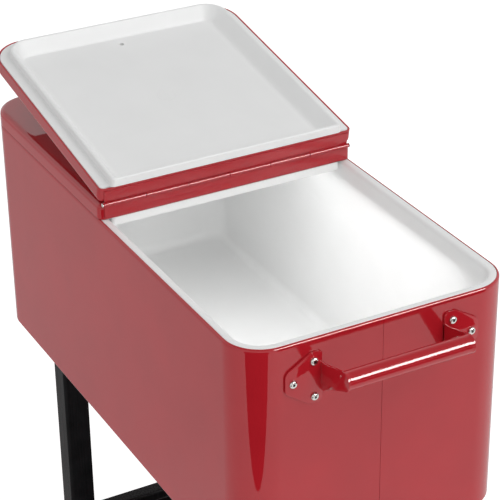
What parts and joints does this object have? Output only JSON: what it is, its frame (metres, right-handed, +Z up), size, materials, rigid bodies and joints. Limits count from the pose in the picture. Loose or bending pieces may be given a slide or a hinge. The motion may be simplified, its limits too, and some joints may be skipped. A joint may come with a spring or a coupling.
{
  "type": "patio cooler cart",
  "caption": "Insulated steel patio cooler on a four-legged stand with swivel casters, end handles, a shelf and folding half lids.",
  "frame": {"origin": "on the ground, under the middle of the whole object's outline", "axes": "+Z up, +X along the tub towards the end whose lid is folded open, -Y to the front"},
  "size_m": [0.9394, 0.39, 0.9309],
  "materials": {
    "red_paint": "gloss red enamel on sheet steel",
    "white_plastic": "smooth moulded white plastic with a soft sheen",
    "black_paint": "gloss black powder coat",
    "chrome": "bright chrome plate",
    "zinc_plate": "zinc-plated pressed steel",
    "caster_tread": "matt black tread on a moulded hub",
    "pedal_plastic": "moulded plastic pedal",
    "insulating_foam": "closed-cell foam"
  },
  "bodies": {
    "root": {"wrap_front": "red_paint", "wrap_back": "red_paint", "base_pan": "red_paint", "liner": "white_plastic", "tub_foam": "insulating_foam", "drain_spout": "white_plastic", "right_handle": "red_paint", "left_handle": "red_paint", "right_handle_screw_1": "chrome", "right_handle_screw_2": "chrome", "right_handle_screw_3": "chrome", "right_handle_screw_4": "chrome", "right_handle_screw_5": "chrome", "right_handle_screw_6": "chrome", "left_handle_screw_1": "chrome", "left_handle_screw_2": "chrome", "left_handle_screw_3": "chrome", "left_handle_screw_4": "chrome", "left_handle_screw_5": "chrome", "left_handle_screw_6": "chrome", "front_left_leg": "black_paint", "front_right_leg": "black_paint", "back_left_leg": "black_paint", "back_right_leg": "black_paint", "left_lower_rail": "black_paint", "right_lower_rail": "black_paint", "left_upper_rail": "black_paint", "right_upper_rail": "black_paint", "lower_shelf": "black_paint", "front_left_caster_stem": "zinc_plate", "front_right_caster_stem": "zinc_plate", "back_left_caster_stem": "zinc_plate", "back_right_caster_stem": "zinc_plate"},
    "hinge_pin": {"hinge_pin": "chrome"},
    "left_lid": {"left_lid_shell": "red_paint", "left_lid_inner": "white_plastic", "left_lid_knob": "chrome", "left_lid_knob_screw": "zinc_plate", "left_hinge_leaf": "red_paint"},
    "right_lid": {"right_lid_shell": "red_paint", "right_lid_inner": "white_plastic", "right_lid_knob": "chrome", "right_lid_knob_screw": "zinc_plate", "right_hinge_leaf": "red_paint"},
    "drain_cap": {"drain_cap": "white_plastic"},
    "front_left_caster": {"front_left_caster_fork": "zinc_plate", "front_left_caster_axle": "zinc_plate"},
    "front_left_wheel": {"front_left_wheel": "caster_tread"},
    "front_right_caster": {"front_right_caster_fork": "zinc_plate", "front_right_caster_axle": "zinc_plate"},
    "front_right_wheel": {"front_right_wheel": "caster_tread"},
    "back_left_caster": {"back_left_caster_fork": "zinc_plate", "back_left_caster_axle": "zinc_plate"},
    "back_left_wheel": {"back_left_wheel": "caster_tread"},
    "back_right_caster": {"back_right_caster_fork": "zinc_plate", "back_right_caster_axle": "zinc_plate"},
    "back_right_wheel": {"back_right_wheel": "caster_tread"},
    "front_left_pedal": {"front_left_brake_pedal": "pedal_plastic"},
    "front_right_pedal": {"front_right_brake_pedal": "pedal_plastic"}
  },
  "joints": [
    {"name": "lids_lift_off", "type": "slide", "parent": "root", "child": "hinge_pin", "axis": [0, 0, 1], "range_m": [0, 0.25]},
    {"name": "lid_pair_flip", "type": "hinge", "parent": "hinge_pin", "child": "left_lid", "pos_m": [0, 0, 0.832], "axis": [0, 1, 0], "range_deg": [0, 170.46]},
    {"name": "right_lid_fold", "type": "hinge", "parent": "left_lid", "child": "right_lid", "pos_m": [0, 0, 0.832], "axis": [0, -1, 0], "range_deg": [-170.46, 0]},
    {"name": "drain_cap_pull", "type": "slide", "parent": "root", "child": "drain_cap", "axis": [0, 0, -1], "range_m": [0, 0.03]},
    {"name": "front_left_swivel", "type": "hinge", "parent": "root", "child": "front_left_caster", "pos_m": [-0.281, -0.1415, 0.09], "axis": [0, 0, 1], "continuous": true},
    {"name": "front_left_wheel_roll", "type": "hinge", "parent": "front_left_caster", "child": "front_left_wheel", "pos_m": [-0.303, -0.1415, 0.0375], "axis": [0, 1, 0], "continuous": true},
    {"name": "front_right_swivel", "type": "hinge", "parent": "root", "child": "front_right_caster", "pos_m": [0.281, -0.1415, 0.09], "axis": [0, 0, 1], "continuous": true},
    {"name": "front_right_wheel_roll", "type": "hinge", "parent": "front_right_caster", "child": "front_right_wheel", "pos_m": [0.259, -0.1415, 0.0375], "axis": [0, 1, 0], "continuous": true},
    {"name": "back_left_swivel", "type": "hinge", "parent": "root", "child": "back_left_caster", "pos_m": [-0.281, 0.1415, 0.09], "axis": [0, 0, 1], "continuous": true},
    {"name": "back_left_wheel_roll", "type": "hinge", "parent": "back_left_caster", "child": "back_left_wheel", "pos_m": [-0.303, 0.1415, 0.0375], "axis": [0, 1, 0], "continuous": true},
    {"name": "back_right_swivel", "type": "hinge", "parent": "root", "child": "back_right_caster", "pos_m": [0.281, 0.1415, 0.09], "axis": [0, 0, 1], "continuous": true},
    {"name": "back_right_wheel_roll", "type": "hinge", "parent": "back_right_caster", "child": "back_right_wheel", "pos_m": [0.259, 0.1415, 0.0375], "axis": [0, 1, 0], "continuous": true},
    {"name": "front_left_brake", "type": "hinge", "parent": "front_left_caster", "child": "front_left_pedal", "pos_m": [-0.314, -0.1415, 0.084], "axis": [0, -1, 0], "range_deg": [0, 12]},
    {"name": "front_right_brake", "type": "hinge", "parent": "front_right_caster", "child": "front_right_pedal", "pos_m": [0.248, -0.1415, 0.084], "axis": [0, -1, 0], "range_deg": [0, 12]}
  ]
}
